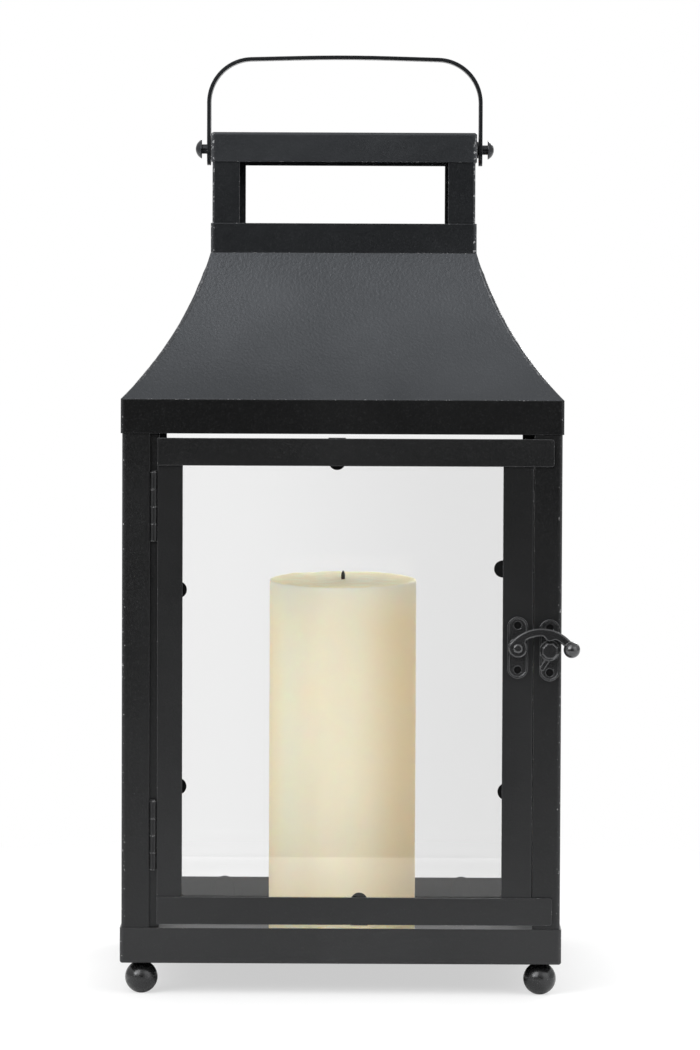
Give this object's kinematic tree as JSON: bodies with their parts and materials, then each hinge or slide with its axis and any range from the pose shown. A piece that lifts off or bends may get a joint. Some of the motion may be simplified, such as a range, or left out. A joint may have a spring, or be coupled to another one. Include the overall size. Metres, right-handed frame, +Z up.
{
  "type": "garden lantern",
  "caption": "Square black metal garden lantern with glass sides, hinged latched door, flared roof, open chimney, bail handle, ball feet and a pillar candle.",
  "frame": {"origin": "middle of the square footprint, on the surface that the ball feet stand on", "axes": "+Z up through the chimney and the bail, -Y out through the door, +X towards the latch"},
  "size_m": [0.2407, 0.2417, 0.4965],
  "materials": {
    "black_powder_coat": "satin powder coat",
    "glass": "clear float glass",
    "wax": "ivory paraffin wax",
    "wick": "charred cotton braid"
  },
  "bodies": {
    "frame": {"bail_rivets": "black_powder_coat", "bail_washers": "black_powder_coat", "ball_feet": "black_powder_coat", "base_tray": "black_powder_coat", "cap": "black_powder_coat", "catch_button": "black_powder_coat", "catch_plate": "black_powder_coat", "catch_screws": "black_powder_coat", "chimney_post_front_left": "black_powder_coat", "chimney_post_front_right": "black_powder_coat", "chimney_post_rear_left": "black_powder_coat", "chimney_post_rear_right": "black_powder_coat", "corner_post_front_left": "black_powder_coat", "corner_post_front_right": "black_powder_coat", "corner_post_rear_left": "black_powder_coat", "corner_post_rear_right": "black_powder_coat", "eave_band": "black_powder_coat", "foot_screws": "black_powder_coat", "hinge_pin_lower": "black_powder_coat", "hinge_pin_upper": "black_powder_coat", "hinge_post_leaf_lower": "black_powder_coat", "hinge_post_leaf_upper": "black_powder_coat", "hinge_strip": "black_powder_coat", "neck_band": "black_powder_coat", "pane_clips_left": "black_powder_coat", "pane_clips_rear": "black_powder_coat", "pane_clips_right": "black_powder_coat", "pane_left": "glass", "pane_rear": "glass", "pane_right": "glass", "roof_panel_front": "black_powder_coat", "roof_panel_left": "black_powder_coat", "roof_panel_rear": "black_powder_coat", "roof_panel_right": "black_powder_coat"},
    "door": {"door_clips": "black_powder_coat", "door_pane": "glass", "door_rail_bottom": "black_powder_coat", "door_rail_top": "black_powder_coat", "door_stile_left": "black_powder_coat", "door_stile_right": "black_powder_coat", "hinge_door_leaf_lower": "black_powder_coat", "hinge_door_leaf_upper": "black_powder_coat", "latch_pivot": "black_powder_coat", "latch_plate": "black_powder_coat", "latch_screws": "black_powder_coat"},
    "hook": {"latch_hook": "black_powder_coat"},
    "bail": {"bail_handle": "black_powder_coat"},
    "candle": {"candle": "wax", "candle_wick": "wick"}
  },
  "joints": [
    {"name": "door_swing", "type": "hinge", "parent": "frame", "child": "door", "pos_m": [-0.0986, -0.1152, 0], "axis": [0, 0, -1], "range_deg": [0, 120]},
    {"name": "hook_lift", "type": "hinge", "parent": "door", "child": "hook", "pos_m": [0.0922, -0.1152, 0.1839], "axis": [0, -1, 0], "range_deg": [0, 100]},
    {"name": "bail_swing", "type": "hinge", "parent": "frame", "child": "bail", "pos_m": [0, 0, 0.4458], "axis": [1, 0, 0], "range_deg": [-65, 65]},
    {"name": "candle_lift", "type": "slide", "parent": "frame", "child": "candle", "axis": [0, 0, 1], "range_m": [0, 0.03]}
  ]
}
